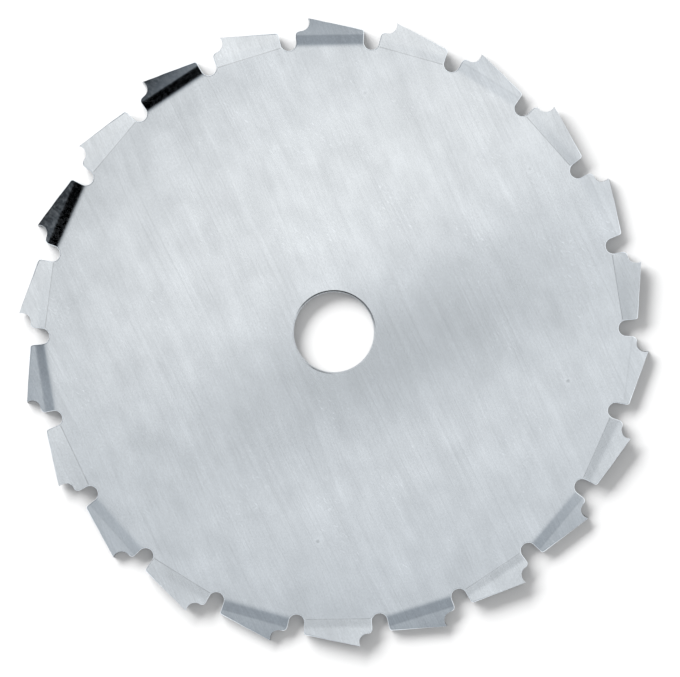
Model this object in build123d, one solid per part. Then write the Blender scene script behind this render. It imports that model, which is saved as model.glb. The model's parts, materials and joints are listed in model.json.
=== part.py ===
from build123d import *
import math
import os

# Circular clearing-saw blade with chisel teeth, made of one piece of sheet steel.
# It lies flat: +Z is the axis of the bore, and the origin is in the middle of the bore at half the
# sheet's thickness. Lengths are millimetres and angles are degrees. "Ahead" is anticlockwise seen
# from +Z, which is the way the tips point, and "behind" is clockwise.

# The disc
TIP_DIAMETER = 200.0  # circle through the cutting tips
PLATE = 1.8  # thickness of the sheet
BORE_DIAMETER = 25.4  # one-inch arbor hole
BORE_CHAMFER = 0.5  # edge break on both rims of the bore
TOOTH_COUNT = 22  # an even number, because the teeth lean to each side in turn
FIRST_TIP_ANGLE = 13.0  # where the first tip stands, from +X

# One tooth seen from above
TOP_FALL = 16.4  # how the tooth's top falls away behind the tip, against the tangent there
GULLET_RADIUS = 2.45  # round bottom of the gap between two teeth
GULLET_DEPTH = 9.7  # from the tip circle to the bottom of the gap
GULLET_LEAD = 6.75  # from the tip ahead to the middle of the gap, along the gap centres' circle
FRONT_FLARE = 5.2  # how the gap opens outwards on the side of the tooth behind it
BACK_FLARE = 5.0  # and on the side of the tooth ahead of it
SHOULDER_RADIUS = 1.4  # round corner below the filed hollow
HEEL_RADIUS = 0.85  # round corner at the back of the tooth's top

# The filed hollow that gives the tooth its chisel tip
FILE_RADIUS = 2.75  # a 5.5 mm round file
HOOK = 24.0  # how the hollow leans ahead at the tip, against the radius
FILE_BEVEL = 10.0  # how the file leans, so that the outer corner of the tip cuts
FILING_STOCK = 0.2  # what the file takes off the stamped hollow

# The set: each tooth is pressed out of the plane in a steep band and a flatter flank
BEND_DEPTH = 8.95  # from the tip circle to the line where the band starts, at the tooth's middle
BAND_WIDTH = 2.9  # from the start of the band to the start of the flank
BAND_ANGLE = 4.2  # slope of the band against the disc
FLANK_ANGLE = 2.3  # slope of the flank against the disc
BEND_RADIUS = 0.6  # inside radius of both bends
BEND_MARGIN = 0.6  # flat sheet between the disc's edge and the first bend, in a tooth's own solid

TIP_RADIUS = TIP_DIAMETER / 2
PITCH = 360 / TOOTH_COUNT
GAP_CENTRE_RADIUS = TIP_RADIUS - GULLET_DEPTH + GULLET_RADIUS
GAP_LEAD = math.degrees(GULLET_LEAD / GAP_CENTRE_RADIUS)
TOOTH_MIDDLE = GAP_LEAD - PITCH / 2
BEND_LINE = TIP_RADIUS - BEND_DEPTH
DISC_EDGE = BEND_LINE - BEND_MARGIN
FLANK_START = BEND_LINE + BAND_WIDTH
BAND_RISE = BAND_WIDTH * math.tan(math.radians(BAND_ANGLE))
REACH = 4 * PLATE  # clears a set tooth, measured up or down from the middle plane


def heading(angle):
    """The unit vector that points at an angle from +X."""
    return Vector(math.cos(math.radians(angle)), math.sin(math.radians(angle)))


def polar(radius, angle):
    """The point at a radius and an angle from +X."""
    return heading(angle) * radius


def crossed(first, second):
    """Height of the cross product of two vectors in the plane."""
    return first.X * second.Y - first.Y * second.X


def stamped_tooth():
    """Outline of the tooth whose tip is on +X, from its front wall to the next gap's bottom."""
    tip = Vector(TIP_RADIUS, 0)
    top_way = heading(-90 - TOP_FALL)
    front_way = heading(GAP_LEAD - FRONT_FLARE)
    back_way = heading(GAP_LEAD - PITCH + BACK_FLARE)

    # The walls are tangent to the round bottoms of the gaps ahead and behind
    front_foot = polar(GAP_CENTRE_RADIUS, GAP_LEAD)
    front_foot += heading(GAP_LEAD - FRONT_FLARE - 90) * GULLET_RADIUS
    back_foot = polar(GAP_CENTRE_RADIUS, GAP_LEAD - PITCH)
    back_foot += heading(GAP_LEAD - PITCH + BACK_FLARE + 90) * GULLET_RADIUS
    next_front_foot = front_foot.rotate(Axis.Z, -PITCH)

    # The stamped hollow lies a filing's depth ahead of the filed one, along the tooth's top
    stamped_tip = tip - top_way * FILING_STOCK
    hollow_centre = stamped_tip + heading(90 + HOOK) * FILE_RADIUS

    # The shoulder's circle touches the front wall from inside and the hollow's circle from outside
    shoulder_line = front_foot + heading(GAP_LEAD - FRONT_FLARE - 90) * SHOULDER_RADIUS
    reach = shoulder_line - hollow_centre
    along = reach.dot(front_way)
    spread = (SHOULDER_RADIUS + FILE_RADIUS) ** 2 - reach.dot(reach) + along**2
    rise = -along - math.sqrt(spread)
    shoulder_centre = shoulder_line + front_way * rise
    shoulder_start = front_foot + front_way * rise
    shoulder_end = shoulder_centre + (hollow_centre - shoulder_centre).normalized() * SHOULDER_RADIUS

    # The heel's round corner is where the top meets the back wall
    top_length = crossed(back_foot - tip, back_way) / crossed(top_way, back_way)
    heel = tip + top_way * top_length
    half_corner = (top_way * -1).get_angle(back_way * -1) / 2
    trim = HEEL_RADIUS / math.tan(math.radians(half_corner))

    front_wall = Line(front_foot, shoulder_start)
    shoulder = TangentArc(shoulder_start, shoulder_end, tangent=front_way)
    hollow = TangentArc(shoulder_end, stamped_tip, tangent=shoulder % 1)
    top = Line(stamped_tip, heel + top_way * -trim)
    heel_corner = TangentArc(heel + top_way * -trim, heel + back_way * -trim, tangent=top_way)
    back_wall = Line(heel + back_way * -trim, back_foot)
    gap_bottom = TangentArc(back_foot, next_front_foot, tangent=back_way * -1)
    return Curve() + [front_wall, shoulder, hollow, top, heel_corner, back_wall, gap_bottom]


def stamped_blank():
    """The flat blank: the outline of one tooth repeated round the disc, with the bore."""
    tooth = stamped_tooth()
    edges = [edge for place in PolarLocations(0, TOOTH_COUNT) for edge in (place * tooth).edges()]
    return make_face(edges) - Circle(BORE_DIAMETER / 2)


def bent_sheet():
    """A strip of sheet with both bends, extruded along the bend lines of the first tooth."""
    flank_end = TIP_RADIUS + PLATE
    flank_rise = (flank_end - FLANK_START) * math.tan(math.radians(FLANK_ANGLE))
    middle = FilletPolyline(
        (DISC_EDGE - PLATE, 0),
        (BEND_LINE, 0),
        (FLANK_START, BAND_RISE),
        (flank_end, BAND_RISE + flank_rise),
        radius=BEND_RADIUS + PLATE / 2,
    )
    section = make_face(offset(middle, PLATE / 2, side=Side.BOTH).edges())
    side_on = Plane(origin=(0, 0, 0), x_dir=heading(TOOTH_MIDDLE), z_dir=heading(TOOTH_MIDDLE - 90))
    return extrude(side_on * section, BEND_LINE * math.tan(math.radians(PITCH / 2)), both=True)


def tip_height():
    """Height of the sheet's outer face at the tip of a tooth that is set upwards."""
    flank_length = TIP_RADIUS * math.cos(math.radians(TOOTH_MIDDLE)) - FLANK_START
    flank_rise = flank_length * math.tan(math.radians(FLANK_ANGLE))
    return BAND_RISE + flank_rise + PLATE / 2 / math.cos(math.radians(FLANK_ANGLE))


def round_file():
    """The file's cylinder, leaning so that it cuts furthest back on the tooth's inner face."""
    centre = Vector(TIP_RADIUS, 0) + heading(90 + HOOK) * FILE_RADIUS
    return Pos(centre.X, centre.Y, tip_height()) * Rot(-FILE_BEVEL, 0, 0) * Cylinder(FILE_RADIUS, 2 * REACH)


def raised_tooth(blank):
    """The first tooth, set upwards and filed."""
    beyond_edge = Rot(0, 0, TOOTH_MIDDLE) * Pos(DISC_EDGE, 0) * Rectangle(
        TIP_RADIUS, 2 * DISC_EDGE * math.tan(math.radians(PITCH / 2)), align=(Align.MIN, Align.CENTER)
    )
    column = extrude(blank & beyond_edge, REACH, both=True)
    return (column & bent_sheet()) - round_file()


def disc(blank):
    """The flat middle of the blade, up to a straight edge at the foot of each tooth."""
    inside = Rot(0, 0, TOOTH_MIDDLE) * RegularPolygon(
        DISC_EDGE, TOOTH_COUNT, major_radius=False, rotation=PITCH / 2
    )
    flat = extrude(blank & inside, PLATE / 2, both=True)
    rims = flat.edges().filter_by(GeomType.CIRCLE).filter_by(
        lambda edge: math.isclose(edge.radius, BORE_DIAMETER / 2)
    )
    return chamfer(rims, BORE_CHAMFER)


def saw_blade():
    """The whole blade: the disc with its teeth, set upwards and downwards in turn."""
    blank = stamped_blank()
    raised = raised_tooth(blank)
    lowered = mirror(raised, about=Plane.XY)
    teeth = [
        Rot(0, 0, index * PITCH) * (lowered if index % 2 else raised) for index in range(TOOTH_COUNT)
    ]
    return Rot(0, 0, FIRST_TIP_ANGLE) * (disc(blank) + teeth)


os.makedirs("parts", exist_ok=True)
blade = saw_blade()
export_step(blade, "parts/saw_blade.step")
print("volume", round(blade.volume, 1), "solids", len(blade.solids()), "faces", len(blade.faces()))
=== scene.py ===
import json
import math
import bpy
import numpy as np
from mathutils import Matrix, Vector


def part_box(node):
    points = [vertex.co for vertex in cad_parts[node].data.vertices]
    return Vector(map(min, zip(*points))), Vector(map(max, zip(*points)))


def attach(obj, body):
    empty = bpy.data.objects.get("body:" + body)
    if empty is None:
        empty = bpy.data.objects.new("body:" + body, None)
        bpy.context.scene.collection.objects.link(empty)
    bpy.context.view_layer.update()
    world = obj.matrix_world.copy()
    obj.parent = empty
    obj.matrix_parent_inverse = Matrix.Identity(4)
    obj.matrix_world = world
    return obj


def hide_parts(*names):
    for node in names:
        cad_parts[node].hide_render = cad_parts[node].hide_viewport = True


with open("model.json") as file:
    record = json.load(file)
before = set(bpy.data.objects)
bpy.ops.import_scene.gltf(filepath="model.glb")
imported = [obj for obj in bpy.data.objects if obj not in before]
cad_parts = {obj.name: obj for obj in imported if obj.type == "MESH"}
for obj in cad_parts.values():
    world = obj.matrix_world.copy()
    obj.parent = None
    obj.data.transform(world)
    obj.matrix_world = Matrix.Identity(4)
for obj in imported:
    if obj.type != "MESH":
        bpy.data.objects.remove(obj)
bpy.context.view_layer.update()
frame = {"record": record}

# Saw blade
# One blank stamped from sheet steel, ground flat on both faces and bored for the arbor. Its chisel teeth
# are pressed out of the plane, up and down in turn, and their fronts are filed with a round file.
# Lengths here are millimetres, and a point of the plane is one complex number, x + iy.
MM = 0.001
MOUNTS = {mount["name"]: mount for mount in frame["record"]["mounts"]}
HALF_PLATE = MOUNTS["upper_face"]["pos_m"][2] / MM
BORE_RADIUS = MOUNTS["bore"]["dims"]["r_mm"]
BORE_WALL = MOUNTS["bore"]["dims"]["length_mm"]
TIP_RADIUS = 100.0
TOOTH_COUNT = 22
PITCH = 360 / TOOTH_COUNT
FIRST_TIP_ANGLE = 13.0  # where the first tip stands, from +X

TOP_FALL = 16.4  # how a tooth's top falls away behind its tip, against the tangent there
GULLET_RADIUS = 2.45  # round bottom of the gap between two teeth
GULLET_DEPTH = 9.7
GULLET_LEAD = 6.75  # from the tip ahead to the middle of the gap
GAP_CENTRE_RADIUS = TIP_RADIUS - GULLET_DEPTH + GULLET_RADIUS
GAP_LEAD = math.degrees(GULLET_LEAD / GAP_CENTRE_RADIUS)
TOOTH_MIDDLE = GAP_LEAD - PITCH / 2
FRONT_FLARE, BACK_FLARE = 5.2, 5.0  # how a tooth's front and back walls lean away from the gaps' middles
SHOULDER_RADIUS = 1.4
HEEL_RADIUS = 0.85
FILE_RADIUS = 2.75
HOOK = 24.0  # how the filed hollow leans ahead at the tip
FILE_BEVEL = 10.0  # how the file leans, so that a tip's outer corner leads

BAND_SLOPE = math.tan(math.radians(4.2))  # of the steeper band at a tooth's foot
FLANK_SLOPE = math.tan(math.radians(2.3))  # and of the flatter flank beyond it
BAND_LINE, FLANK_LINE = 91.05, 93.95  # where they start at half thickness, measured from the axis
BAND_SHIFT, FLANK_SHIFT = 0.033, 0.051  # how much nearer the axis the upper face of a raised tooth bends
HOLLOW_FOOT, CROWNED_FOOT = 0.24, 0.9  # half the width of the foot bend on its hollow and crowned faces
HOLLOW_SECOND, CROWNED_SECOND = 0.5, 0.9  # and of the second bend
CROWNED_LINE = 90.8  # the foot bend on its crowned face, where the sheet rolls over sooner
SECOND_LAG = 0.1  # how much further out the second bend lies on its hollow face
SET_LOSS = 0.06  # the teeth are pressed one by one, and some spring back by up to this share
WOBBLE = 0.07  # how far the outline strays, from the dies and the file
HALF_FOOT = 11.0  # half the width of a tooth at its foot
STRIKE = 0.06  # how deep the punch presses before its mark is full
SECOND_CREASE_SHADE = 0.25  # how dark the painted shade in the second bend's crease is, as a share of the foot's

GAP_STEPS, WALL_STEPS, SHOULDER_STEPS, HOLLOW_STEPS, TOP_STEPS, HEEL_STEPS = 8, 5, 6, 11, 14, 5
TOOTH_STEPS = 2 * (GAP_STEPS + WALL_STEPS) + SHOULDER_STEPS + HOLLOW_STEPS + TOP_STEPS + HEEL_STEPS
STAMPED_RIM = 0.24  # width of the rounded edge that stamping leaves
FILED_RIM = 0.05
HEEL_RIM = 0.35
RIM_DROP = 0.6  # depth of that edge as a share of its width
GUARD = 0.06  # a flat border just inside it, which keeps its shading off the face
RIM_WIDTHS = np.concatenate([
    np.full(GAP_STEPS + WALL_STEPS + SHOULDER_STEPS, STAMPED_RIM),
    np.full(HOLLOW_STEPS, FILED_RIM),
    FILED_RIM + (HEEL_RIM - FILED_RIM) * np.linspace(0, 1, TOP_STEPS) ** 2,
    np.full(HEEL_STEPS, HEEL_RIM),
    np.full(WALL_STEPS + GAP_STEPS, STAMPED_RIM),
])
DISC_ROWS = [45.0, 80.0, 88.3]  # how far from the axis the mesh has rows on the disc
BAND_ROWS, FLANK_ROWS = [92.1, 92.7], [95.3, TIP_RADIUS]  # on the band and on the flank
BEND_ROWS = 7  # across a bend
CROWDING = 0.03  # least space between rows where they crowd up inside the outline


def unit(angle):
    """The complex number of length one at an angle in degrees."""
    return np.exp(1j * np.radians(angle))


def bearing(way):
    """The angle of a complex number in degrees."""
    return math.degrees(np.angle(way))


def line(start, end, steps):
    """Equal steps along a straight line, without its end."""
    return start + (end - start) * np.arange(steps) / steps


def arc(centre, radius, start, end, steps):
    """Equal steps along a circle's arc between two angles, without its end."""
    return centre + radius * unit(start + (end - start) * np.arange(steps) / steps)


def tooth_outline(recess):
    """One pitch of the outline, clockwise from the middle of one gap to the middle of the next, with the
    tooth's middle on the real axis. Straight lines and arcs touch each other all along, apart from the
    sharp tip. Recess moves the filed hollow back along the tooth's top."""
    top_way = unit(-90 - TOP_FALL)
    front_angle = GAP_LEAD - FRONT_FLARE
    back_angle = GAP_LEAD - PITCH + BACK_FLARE
    gap = GAP_CENTRE_RADIUS * unit(GAP_LEAD)
    next_gap = gap * unit(-PITCH)
    front_foot = gap + GULLET_RADIUS * unit(front_angle - 90)
    back_foot = next_gap + GULLET_RADIUS * unit(back_angle + 90)
    tip = TIP_RADIUS + recess * top_way
    hollow = tip + FILE_RADIUS * unit(90 + HOOK)

    # The shoulder's circle touches the front wall from inside and the hollow's circle from outside
    start = front_foot + SHOULDER_RADIUS * unit(front_angle - 90)
    reach = (hollow - start) / unit(front_angle)
    rise = reach.real - math.sqrt((SHOULDER_RADIUS + FILE_RADIUS) ** 2 - reach.imag**2)
    shoulder = start + rise * unit(front_angle)

    # The heel is where the top meets the back wall, and the outline turns there by an angle
    turn = -bearing(-unit(back_angle) / top_way)
    to_foot = (back_foot - tip) / top_way
    heel = tip + top_way * (to_foot.real - to_foot.imag / math.tan(math.radians(-turn)))
    trim = HEEL_RADIUS * math.tan(math.radians(turn / 2))
    top_end = heel - trim * top_way
    heel_centre = top_end - 1j * top_way * HEEL_RADIUS

    return unit(-TOOTH_MIDDLE) * np.concatenate([
        arc(gap, GULLET_RADIUS, 180 + GAP_LEAD, 270 + front_angle, GAP_STEPS),
        line(front_foot, front_foot + rise * unit(front_angle), WALL_STEPS),
        arc(shoulder, SHOULDER_RADIUS, front_angle + 90, bearing(hollow - shoulder), SHOULDER_STEPS),
        arc(hollow, FILE_RADIUS, bearing(shoulder - hollow), 270 + HOOK, HOLLOW_STEPS),
        line(tip, top_end, TOP_STEPS),
        arc(heel_centre, HEEL_RADIUS, -TOP_FALL, -TOP_FALL - turn, HEEL_STEPS),
        line(heel - trim * unit(back_angle), back_foot, WALL_STEPS),
        arc(next_gap, GULLET_RADIUS, back_angle + 90, 180 + GAP_LEAD - PITCH, GAP_STEPS),
    ])


def inward_mitres(outline):
    """At each point of one pitch's outline, the step along its corner's bisector that moves both of the
    sides that meet there inwards by one unit."""
    before = outline - np.roll(outline, 1)
    before[0] = outline[0] - outline[-1] * unit(PITCH)
    after = np.append(before[1:], outline[0] * unit(-PITCH) - outline[-1])
    inward = -1j * before / abs(before), -1j * after / abs(after)
    bisector = sum(inward) / abs(sum(inward))
    return bisector / (bisector * np.conj(inward[0])).real


def bends(side):
    """Where a face bends at the tooth's foot and half the width of that bend, the same for the second
    bend, and the slope of the band between them. On the lower face the two bends are moved apart, and
    its band climbs just as high at a lower slope."""
    foot = BAND_LINE - side * BAND_SHIFT
    second = FLANK_LINE - side * FLANK_SHIFT
    climb = BAND_SLOPE * (second - foot)
    if side > 0:
        return foot, HOLLOW_FOOT, second, CROWNED_SECOND, climb / (second - foot)
    second += SECOND_LAG
    return CROWNED_LINE, CROWNED_FOOT, second, HOLLOW_SECOND, climb / (second - CROWNED_LINE)


def ramp(across, bend, half_width):
    """Zero before a bend and the distance from it afterwards, with a parabola in between."""
    share = np.clip((across - bend + half_width) / (2 * half_width), 0, 1)
    return half_width * share**2 + np.maximum(across - bend - half_width, 0)


def face_rows(side, wobble):
    """One face of a tooth that leans upwards and of its share of the disc, as rows from the bore to the
    outline. The rows are circles on the disc, then straight lines across the tooth along its bends, which
    crowd up inside the outline, and last the steps of a quarter ellipse round its edge. Side is 1 for the
    upper face, hollow at the foot bend and crowned at the second, and -1 for the lower one, which is the
    other way round. Wobble moves the outline inwards. Returns the points of the plane, the height of the
    flat plate, what pressing adds, how dark the painted shade is in a hollow bend's crease, and where
    the punch has struck, which is the lower face alone."""
    recess = 0 if side > 0 else 2 * HALF_PLATE * math.tan(math.radians(FILE_BEVEL))
    outline = tooth_outline(recess)
    mitre = inward_mitres(outline)
    outline = outline + mitre * wobble
    first, first_width, second, second_width, band = bends(side)

    spokes = unit(PITCH * (0.5 - np.arange(len(outline)) / len(outline)))
    face_start = BORE_RADIUS + HALF_PLATE - BORE_WALL / 2  # beyond a chamfer as wide as it is deep
    bore_rows = [BORE_RADIUS, face_start, face_start + 2 * GUARD, face_start + 3 * GUARD]
    rings = np.outer(bore_rows + DISC_ROWS, spokes)
    guard = outline + mitre * (RIM_WIDTHS + GUARD)
    bend_steps = np.linspace(-1, 1, BEND_ROWS)
    levels = np.concatenate([
        first + first_width * bend_steps, BAND_ROWS, second + second_width * bend_steps, FLANK_ROWS,
    ])[:, None]
    furthest = guard.real - CROWDING * np.arange(len(levels) - 1, -1, -1)[:, None]
    share = (np.minimum(levels, furthest) - rings[-1].real) / (guard.real - rings[-1].real)
    across_tooth = rings[-1] + share * (guard - rings[-1])
    turn = np.radians([0, 30, 60, 90])[:, None]
    rim = outline + mitre * RIM_WIDTHS * (1 - np.sin(turn))

    plane = np.concatenate([rings, across_tooth, rim])
    flat = np.full(plane.shape, side * HALF_PLATE)
    flat[0] = side * BORE_WALL / 2
    flat[-len(turn):] -= side * RIM_DROP * RIM_WIDTHS * (1 - np.cos(turn))
    pressed = band * ramp(plane.real, first, first_width)
    pressed -= (band - FLANK_SLOPE) * ramp(plane.real, second, second_width)

    # The painted shade in the foot's crease widens towards its ends, and the second bend has only a faint one
    crease_shade, struck = np.zeros(plane.shape), np.zeros(plane.shape)
    inner = 1 - abs(bend_steps[:, None])
    foot_end = len(rings) + BEND_ROWS
    second_start = foot_end + len(BAND_ROWS)
    if side > 0:
        towards_ends = np.clip(abs(plane[len(rings):foot_end].imag) / HALF_FOOT, 0, 1) ** 3
        crease_shade[len(rings):foot_end] = np.clip(1.3 * inner - 0.2 + 0.6 * towards_ends, 0, 1) * (inner > 0)
        crease_shade[len(rings):foot_end] *= levels[:BEND_ROWS] < furthest[:BEND_ROWS]
    else:
        crease_shade[second_start:second_start + BEND_ROWS] = SECOND_CREASE_SHADE * inner
        struck = np.clip(pressed / STRIKE, 0, 1)
    return plane, flat, pressed, crease_shade, struck


def blade_surface():
    """The whole skin as a grid that closes both ways: its rows run out over the upper face, down the
    edge and back in under the lower face, and its columns go round the blade. A tooth that leans
    downwards is one that leans upwards, turned over. The outline of each strays by three waves of its
    own, which die away towards the gaps. Returns x, y and z by row and column, how dark the painted
    shade is in the creases, and where the punch has struck."""
    random = np.random.default_rng(7)
    way_round = np.linspace(0, 1, TOOTH_STEPS, endpoint=False)
    teeth = []
    for index in range(TOOTH_COUNT):
        waves = np.sin(2 * np.pi * (np.outer([3, 7, 12], way_round) + random.random((3, 1))))
        wobble = WOBBLE * np.sin(np.pi * way_round) ** 2 * waves.mean(axis=0)
        upper, lower = face_rows(1, wobble), face_rows(-1, wobble)
        plane, flat, pressed, crease_shade, struck = (
            np.concatenate([over, under[::-1]]) for over, under in zip(upper, lower)
        )
        if index % 2:
            plane, flat, pressed = plane[::-1], -flat[::-1], -pressed[::-1]
            crease_shade, struck = crease_shade[::-1], struck[::-1]
        plane = plane * unit(FIRST_TIP_ANGLE + TOOTH_MIDDLE - index * PITCH)
        height = flat + pressed * (1 - random.uniform(0, SET_LOSS))
        teeth.append(np.stack([plane.real, plane.imag, height, crease_shade, struck], axis=-1))
    whole = np.concatenate(teeth, axis=1)
    return whole[..., :3], whole[..., 3], whole[..., 4]


SHARP_ANGLE = 35.0  # edges that turn more than this look sharp


def grid_mesh(name, points):
    """A mesh of four-cornered faces between neighbours of a grid that closes both ways."""
    corner = np.arange(points.shape[0] * points.shape[1]).reshape(points.shape[:2])
    beside, below = np.roll(corner, -1, axis=1), np.roll(corner, -1, axis=0)
    quads = np.stack([corner, beside, np.roll(below, -1, axis=1), below], axis=-1).reshape(-1, 4)
    mesh = bpy.data.meshes.new(name)
    mesh.vertices.add(corner.size)
    mesh.vertices.foreach_set("co", (points * MM).ravel())
    mesh.loops.add(quads.size)
    mesh.loops.foreach_set("vertex_index", quads.ravel())
    mesh.polygons.add(len(quads))
    mesh.polygons.foreach_set("loop_start", np.arange(0, quads.size, 4))
    mesh.update(calc_edges=True)
    mesh.shade_smooth()
    mesh.set_sharp_from_angle(angle=math.radians(SHARP_ANGLE))
    return mesh


skin, crease_shades, struck_by_punch = blade_surface()
blade_mesh = grid_mesh("ground_blade", skin)

LINES_ANGLE = 116.0  # which way the grinding lines run, from +X
CHART_WIDTH = 2.2 * TIP_RADIUS  # takes in the whole blade, with a margin
WALL_CHART_WIDTH = 1000.0
# Painted shade in the bore's upper chamfer: a dark reflection painted into its colour, strong on some sides
# of the bore and absent on others
CHAMFER_SHADE_AZIMUTHS = [0, 20, 45, 70, 115, 137, 157, 225, 240, 255, 275]  # round the bore's upper chamfer
CHAMFER_SHADE_AMOUNTS = [0, 0.7, 0.9, 1, 1, 0.8, 0, 0, 0.6, 0.5, 0]
CHAMFER_SHADE_DEPTH = [[0.1], [1.0], [1.0]]  # it fills the chamfer's outer corner, and thins out down to the bore


def lay_map(mesh, points, crease_shade, struck):
    """The map that gives the finish its direction: its first axis runs across the marks of the tool. On
    the faces those are the grinding lines. On the outline's wall they run through the thickness, where
    the shears and the file went, so the first axis is the length run round the blade, and in the bore
    they run round it. The rounded edges' last steps and the bore's chamfers count as wall. Each point
    also has how much it is wall, how much rounded rim with a painted highlight, how much painted shade
    it gets in a crease, how much the punch struck it, and how much painted shade darkens it in the
    bore's upper chamfer."""
    rows, columns = points.shape[:2]
    plane = points[..., 0] + 1j * points[..., 1]
    plane = np.append(plane, plane[:, :1], axis=1)
    flat = plane * unit(90 - LINES_ANGLE) / CHART_WIDTH + 0.5 + 0.5j
    run = np.cumsum(abs(np.diff(plane, axis=1, prepend=plane[:, :1])), axis=1)
    height = np.append(points[..., 2], points[:, :1, 2], axis=1)
    upright = (run + 1j * height) / WALL_CHART_WIDTH
    edge, bore = rows // 2 - 1, rows - 1
    outer_wall, bore_wall = [edge - 1, edge, edge + 1], [bore - 1, bore, 0]

    def corners(chart):
        """A chart's value at each face's four corners."""
        below = np.roll(chart, -1, axis=0)
        return np.stack([chart[:, :-1], chart[:, 1:], below[:, 1:], below[:, :-1]], axis=-1)

    by_corner = corners(flat)
    by_corner[outer_wall] = corners(upright)[outer_wall]
    by_corner[bore_wall] = corners(1j * np.conj(upright))[bore_wall]
    layer = mesh.uv_layers.new(name="finish_direction")
    layer.uv.foreach_set("vector", np.stack([by_corner.real, by_corner.imag], axis=-1).ravel())

    wall, rim, chamfer_shade = np.zeros((3, rows, columns))
    wall[[edge, edge + 1, 0, bore]] = 1
    # The rounded rims of the outline get a painted highlight: their colour is made lighter
    rim[[edge - 2, edge - 1, edge + 2, edge + 3]] = 1
    azimuth = np.degrees(np.angle(plane[0, :-1])) % 360
    # painted shade, a dark reflection in the bore's upper chamfer that changes with the azimuth
    chamfer_shade[:len(CHAMFER_SHADE_DEPTH)] = CHAMFER_SHADE_DEPTH * np.interp(azimuth, CHAMFER_SHADE_AZIMUTHS, CHAMFER_SHADE_AMOUNTS)
    marked = {"wall": wall, "rim": rim, "chamfer_shade": chamfer_shade, "crease_shade": crease_shade, "struck": struck}
    for name, amount in marked.items():
        mesh.attributes.new(name, "FLOAT", "POINT").data.foreach_set("value", amount.ravel())


lay_map(blade_mesh, skin, crease_shades, struck_by_punch)


def linear(code):
    """Linear red, green, blue and alpha of an sRGB hex colour."""
    share = np.array([int(code[at:at + 2], 16) / 255 for at in (1, 3, 5)])
    value = np.where(share <= 0.04045, share / 12.92, ((share + 0.055) / 1.055) ** 2.4)
    return (*value, 1.0)


def add_node(tree, kind, settings=None, **inputs):
    """A new node with its settings and its inputs. An input is named by its socket, with underscores for
    spaces, or by in and its number, and is a value or another node's output."""
    node = tree.nodes.new(kind)
    for name, value in (settings or {}).items():
        setattr(node, name, value)
    for name, value in inputs.items():
        is_number = name[:2] == "in" and name[2:].isdigit()
        socket = node.inputs[int(name[2:]) if is_number else name.replace("_", " ")]
        if isinstance(value, bpy.types.NodeSocket):
            tree.links.new(value, socket)
        else:
            socket.default_value = value
    return node


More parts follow.
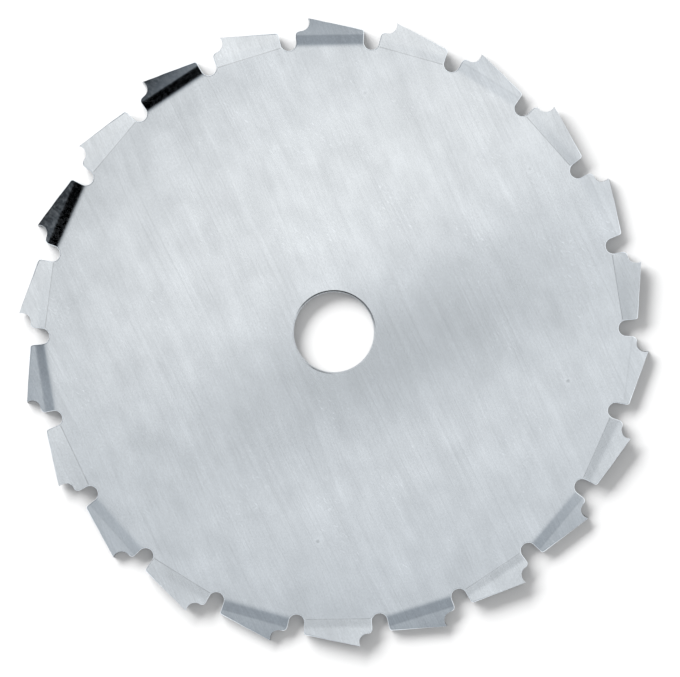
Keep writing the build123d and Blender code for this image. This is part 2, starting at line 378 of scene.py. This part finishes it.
def ground_steel():
    """Bare surface-ground steel. The wheel leaves fine parallel lines, which smear every reflection into a
    soft sheen across them and cross each other at small angles from pass to pass. Handling adds cloudy
    patches, rubbed specks, a few long scratches and small stains. The punch has burnished what it struck.
    Painted shade darkens the creases of the bends and, on some sides, the bore's upper chamfer, and a
    painted highlight lightens the rounded rims. Lines finer than a pixel are drawn 0.3 mm wide."""
    material = bpy.data.materials.new("surface_ground_steel")
    material.use_nodes = True
    tree = material.node_tree
    tree.nodes.clear()
    multiply, multiply_add = {"operation": "MULTIPLY"}, {"operation": "MULTIPLY_ADD"}

    # The lines aren't quite straight: they sway by up to 3 mm in 90
    place = add_node(tree, "ShaderNodeTexCoord").outputs["Object"]
    sway = add_node(tree, "ShaderNodeTexNoise", Vector=place, Scale=1 / (90 * MM), Detail=0.0)
    swaying = add_node(
        tree, "ShaderNodeVectorMath", multiply_add,
        in0=sway.outputs["Color"], in1=(3 * MM, 3 * MM, 0), in2=place,
    ).outputs["Vector"]

    def marks(turn, length, width, detail, noise, tone):
        """Noise drawn out into marks that run a turn away from the lines, with the range of noise that
        goes to a range of tone. Length and width are the grain of the noise in millimetres."""
        drawn_out = add_node(
            tree, "ShaderNodeMapping", {"vector_type": "TEXTURE"}, Vector=swaying,
            Rotation=(0, 0, math.radians(LINES_ANGLE + turn)), Scale=(length * MM, width * MM, width * MM),
        ).outputs["Vector"]
        texture = add_node(tree, "ShaderNodeTexNoise", Vector=drawn_out, Scale=1.0, Detail=detail)
        return add_node(
            tree, "ShaderNodeMapRange", Value=texture.outputs["Fac"],
            From_Min=noise[0], From_Max=noise[1], To_Min=tone[0], To_Max=tone[1],
        ).outputs["Result"]

    def where(mark, share):
        """A factor that goes from 1 to a share as the blade's map marks a point more."""
        amount = add_node(tree, "ShaderNodeAttribute", {"attribute_name": mark}).outputs["Fac"]
        return add_node(tree, "ShaderNodeMapRange", Value=amount, To_Min=1.0, To_Max=share).outputs["Result"]

    # Two passes of the wheel, each with fine and broader lines, show in patches
    fine_lines = marks(turn=1, length=70, width=0.4, detail=2.0, noise=(0.25, 0.75), tone=(0.96, 1.04))
    broad_lines = marks(turn=-1, length=90, width=1.4, detail=3.0, noise=(0.3, 0.7), tone=(0.955, 1.045))
    first_pass = add_node(tree, "ShaderNodeMath", multiply, in0=fine_lines, in1=broad_lines).outputs[0]
    fine_crossing = marks(turn=-6, length=60, width=0.45, detail=2.0, noise=(0.25, 0.75), tone=(0.965, 1.035))
    broad_crossing = marks(turn=-5, length=80, width=2.0, detail=2.0, noise=(0.3, 0.7), tone=(0.965, 1.035))
    second_pass = add_node(tree, "ShaderNodeMath", multiply, in0=fine_crossing, in1=broad_crossing).outputs[0]
    patches = marks(turn=0, length=34, width=22, detail=2.0, noise=(0.4, 0.6), tone=(0, 1))
    lines = add_node(tree, "ShaderNodeMix", Factor=patches, in2=first_pass, in3=second_pass).outputs[0]

    # What handling leaves
    dull, bright = 0.945, 1.055
    haze = marks(turn=0, length=75, width=30, detail=2.0, noise=(0.3, 0.7), tone=(0.975, 1.025))
    clouds = marks(turn=0, length=11, width=8, detail=7.0, noise=(0.3, 0.7), tone=(dull, bright))
    grain = marks(turn=0, length=0.7, width=0.5, detail=2.0, noise=(0.3, 0.7), tone=(0.96, 1.04))
    specks = marks(turn=25, length=1.7, width=0.5, detail=1.0, noise=(0.62, 0.76), tone=(0, 0.16))
    speck_patches = marks(turn=0, length=22, width=14, detail=3.0, noise=(0.52, 0.62), tone=(0, 1))
    rubbed = add_node(tree, "ShaderNodeMath", multiply_add, in0=specks, in1=speck_patches, in2=1.0).outputs[0]
    deep_lines = marks(turn=0, length=100, width=0.3, detail=0.0, noise=(0.62, 0.76), tone=(1, 0.95))
    dark_scratch = marks(turn=-78, length=70, width=0.3, detail=1.0, noise=(0.76, 0.82), tone=(1, 0.93))
    light_scratch = marks(turn=28, length=50, width=0.3, detail=1.0, noise=(0.76, 0.82), tone=(1, 1.05))

    # A stain is a dark spot of half a millimetre in a lighter ring, and about one cell in five has one.
    # Its parts are shares of the 13 mm that a cell measures
    clean, spot, ring = linear("#DDDDDD"), linear("#C8C8C8"), linear("#E3E3E3")
    cells = add_node(tree, "ShaderNodeTexVoronoi", Vector=place, Scale=1 / (13 * MM))
    stain = add_node(tree, "ShaderNodeValToRGB", Fac=cells.outputs["Distance"])
    stain.color_ramp.elements[0].position, stain.color_ramp.elements[0].color = 0.02, spot
    stain.color_ramp.elements[1].position, stain.color_ramp.elements[1].color = 0.16, clean
    stain.color_ramp.elements.new(0.06).color = ring
    has_stain = add_node(
        tree, "ShaderNodeMath", {"operation": "GREATER_THAN"}, in0=cells.outputs["Color"], in1=0.72,
    ).outputs[0]
    stained = add_node(
        tree, "ShaderNodeMix", {"data_type": "RGBA"}, in0=has_stain, in6=clean, in7=stain.outputs[0],
    ).outputs[2]

    tone = lines
    # Painted shade darkens the creases and the bore's upper chamfer, and a painted highlight lightens the
    # rounded rims. The sheared walls are a little darker steel
    for factor in (
        haze, clouds, grain, deep_lines, rubbed, dark_scratch, light_scratch,
        where("crease_shade", 0.72), where("wall", 0.9), where("rim", 1.4), where("chamfer_shade", 0.0),
    ):
        tone = add_node(tree, "ShaderNodeMath", multiply, in0=tone, in1=factor).outputs[0]
    toned = add_node(
        tree, "ShaderNodeVectorMath", {"operation": "SCALE"}, in0=stained, Scale=tone,
    ).outputs["Vector"]
    colour = add_node(
        tree, "ShaderNodeMix", {"data_type": "RGBA", "blend_type": "MULTIPLY"},
        in0=1.0, in6=linear("#EDF3F8"), in7=toned,
    ).outputs[2]

    # Bright clouds are a little smoother, walls are rougher, and the punch burnishes unevenly
    roughness = add_node(
        tree, "ShaderNodeMapRange", Value=clouds, From_Min=dull, From_Max=bright, To_Min=0.185, To_Max=0.17,
    ).outputs["Result"]
    blotches = marks(turn=30, length=1.3, width=0.9, detail=3.0, noise=(0.35, 0.65), tone=(0.25, 0.5))
    for factor in (where("struck", blotches), where("wall", 1.8)):
        roughness = add_node(tree, "ShaderNodeMath", multiply, in0=roughness, in1=factor).outputs[0]
    bump = add_node(
        tree, "ShaderNodeBump", Height=fine_lines, Strength=0.12, Distance=0.03 * MM,
    ).outputs["Normal"]
    direction = add_node(
        tree, "ShaderNodeTangent", {"direction_type": "UV_MAP", "uv_map": "finish_direction"},
    ).outputs["Tangent"]
    shader = add_node(
        tree, "ShaderNodeBsdfPrincipled", Base_Color=colour, Metallic=1.0, Roughness=roughness,
        Anisotropic=0.9, Tangent=direction, Normal=bump,
    )
    add_node(tree, "ShaderNodeOutputMaterial", Surface=shader.outputs["BSDF"])
    return material


blade = bpy.data.objects.new("ground_blade", blade_mesh)
blade.data.materials.append(ground_steel())
bpy.context.scene.collection.objects.link(blade)
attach(blade, "root")
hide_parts("saw_blade")

# Floor
# A sheet of white card, matt and without texture, so that it shows nothing but the shadow. The blade
# lies loose on it and rests on its lower teeth.
FLOOR_HALF_WIDTH = 3.0  # metres
floor_mesh = bpy.data.meshes.new("white_card")
floor_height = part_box("saw_blade")[0].z
floor_corners = [
    (x * FLOOR_HALF_WIDTH, y * FLOOR_HALF_WIDTH, floor_height)
    for x, y in ((-1, -1), (1, -1), (1, 1), (-1, 1))
]
floor_mesh.from_pydata(floor_corners, [], [(0, 1, 2, 3)])
card = bpy.data.materials.new("matt_white_card")
card.use_nodes = True
card_shader = card.node_tree.nodes["Principled BSDF"]
card_shader.inputs["Base Color"].default_value = linear("#BABABA")
card_shader.inputs["Roughness"].default_value = 0.9
card_shader.inputs["Specular IOR Level"].default_value = 0.0
floor_mesh.materials.append(card)
floor = bpy.data.objects.new("white_card", floor_mesh)
bpy.context.scene.collection.objects.link(floor)

# Light
# A wide lamp low in the north-west casts the soft shadow, and its glint is kept out of the steel. The
# sheen comes from a big soft box overhead, in a white room. A black flag covers the north-west of its
# cloth, where the darkest teeth mirror it.
KEY_AZIMUTH, KEY_ELEVATION = 135.0, 19.5
KEY_DISTANCE, KEY_HEIGHT, KEY_WIDTH = 4.0, 1.27, 5.0  # metres
KEY_POWER = 800.0  # watts
key = bpy.data.objects.new("key_lamp", bpy.data.lights.new("key_lamp", "AREA"))
key.data.shape = "ELLIPSE"
key.data.size, key.data.size_y = KEY_HEIGHT, KEY_WIDTH
key.data.energy = KEY_POWER
key.rotation_euler = (0, math.radians(90 - KEY_ELEVATION), math.radians(KEY_AZIMUTH))
key_foot = KEY_DISTANCE * math.cos(math.radians(KEY_ELEVATION)) * unit(KEY_AZIMUTH)
key.location = (key_foot.real, key_foot.imag, KEY_DISTANCE * math.sin(math.radians(KEY_ELEVATION)))
key.visible_glossy = False
bpy.context.scene.collection.objects.link(key)

BOX_HEIGHT = 1000.0
BOX_HALF_WIDTH = 900.0
BOX_STEPS = 80
WHITE, DIM = 1.08, 0.43  # of the cloth near the axis and further out
EAST_AZIMUTH = 20.0  # of the cloth's bright side
PATCH_AZIMUTH, PATCH_DISTANCE = 222.0, 307.0  # of the bright patch in the south-west
FLAG_AZIMUTH = 144.0
CAMERA_SHADE = 0.9  # the share of the light that the camera takes away
BLUE_BELOW = 1.1  # light that is dimmer than this is bluer
GREEN_SHARE, BLUE_SHARE = 0.08, 0.17


def ease(value, start, end):
    """A smooth step from 0 to 1 between start and end."""
    share = np.clip((value - start) / (end - start), 0, 1)
    return share * share * (3 - 2 * share)


def cloth_glow(place):
    """Red, green and blue light of the soft box's cloth at places that are complex numbers, in sums and
    products of smooth steps and of round patches, some of them placed by how far they lie across and
    along the grinding lines."""
    lined = place * unit(90 - LINES_ANGLE)
    across, along = lined.real, lined.imag
    distance = np.maximum(abs(place), 1)

    # Near the axis it is white, brighter towards the north and in two patches, and dimmer to the south
    near = WHITE + 0.12 * ease(along, -20, 50) - 0.12 * ease(-along, 90, 170)
    near -= 0.06 * ease(-across, 40, 160) * ease(-along, 0, 60)
    near += 0.17 * np.exp(-((across - 70) / 110) ** 2 - ((along - 95) / 50) ** 2)
    near += 0.09 * np.exp(-((across + 120) / 60) ** 2 - ((along + 35) / 60) ** 2)

    # Further out it is dim, apart from the east and a patch in the south-west
    towards_east = (place * unit(-EAST_AZIMUTH)).real / distance
    far = DIM + 0.59 * ease(towards_east, 0.35, 0.85)
    far += 0.25 * np.exp(-(abs(place - PATCH_DISTANCE * unit(PATCH_AZIMUTH)) / 60) ** 2)
    glow = near + (far - near) * ease(distance, 200, 310)

    # The flag and the camera take light away, and the border fades into the room
    towards_flag = place * unit(-FLAG_AZIMUTH)
    glow *= 1 - ease(towards_flag.real, 222, 276) * (1 - ease(abs(towards_flag.imag), 280, 360))
    under_camera = (1 - ease(abs(across - 24), 35, 66)) * (1 - ease(abs(along + 24), 22, 46))
    glow *= 1 - CAMERA_SHADE * under_camera
    glow += (1 - glow) * ease(distance, 780, BOX_HALF_WIDTH)

    # What is dim is bluer, as daylight is
    blueness = 1 - glow / BLUE_BELOW
    blueness += blueness**3
    return np.stack([glow, glow * (1 + GREEN_SHARE * blueness), glow * (1 + BLUE_SHARE * blueness)], axis=-1)


def soft_box():
    """A square of cloth overhead. Its grid is finer towards the middle, and each point has its light."""
    spacing = np.linspace(-1, 1, BOX_STEPS + 1)
    spacing = BOX_HALF_WIDTH * spacing * abs(spacing) ** 0.6
    place = spacing[None, :] + 1j * spacing[:, None]
    corner = np.arange(place.size).reshape(place.shape)
    quads = np.stack([corner[:-1, :-1], corner[1:, :-1], corner[1:, 1:], corner[:-1, 1:]], axis=-1)
    points = np.stack([place.real, place.imag, np.full(place.shape, BOX_HEIGHT)], axis=-1) * MM
    mesh = bpy.data.meshes.new("soft_box")
    mesh.from_pydata(points.reshape(-1, 3), [], quads.reshape(-1, 4))
    light = np.append(cloth_glow(place), np.ones(place.shape + (1,)), axis=-1)
    mesh.attributes.new("glow", "FLOAT_COLOR", "POINT").data.foreach_set("color", light.ravel())

    material = bpy.data.materials.new("diffusing_cloth")
    material.cycles.emission_sampling = "NONE"
    material.use_nodes = True
    tree = material.node_tree
    tree.nodes.clear()
    glow = add_node(tree, "ShaderNodeAttribute", {"attribute_name": "glow"}).outputs["Color"]
    emission = add_node(tree, "ShaderNodeEmission", Color=glow, Strength=1.0).outputs["Emission"]
    add_node(tree, "ShaderNodeOutputMaterial", Surface=emission)
    mesh.materials.append(material)
    box = bpy.data.objects.new("soft_box", mesh)
    box.visible_camera = False
    box.visible_shadow = False
    bpy.context.scene.collection.objects.link(box)


soft_box()

ROOM_STRENGTH = 1.1
room = bpy.data.worlds.new("white_room")
room.use_nodes = True
walls = room.node_tree.nodes["Background"]
walls.inputs["Color"].default_value = linear("#FFFFFF")
walls.inputs["Strength"].default_value = ROOM_STRENGTH
bpy.context.scene.world = room

# Camera
# It looks straight down from a metre above the blade, a little to the right of and below its middle,
# through a long lens.
CAMERA_PLACE = (1.92, -2.02, 985.0)
LENS, SENSOR_WIDTH = 164.3, 36.0
camera = bpy.data.objects.new("camera", bpy.data.cameras.new("camera"))
camera.data.lens, camera.data.sensor_width = LENS, SENSOR_WIDTH
camera.location = [part * MM for part in CAMERA_PLACE]
bpy.context.scene.collection.objects.link(camera)
bpy.context.scene.camera = camera
bpy.context.scene.view_settings.view_transform = "Standard"
bpy.context.scene.cycles.use_denoising = True
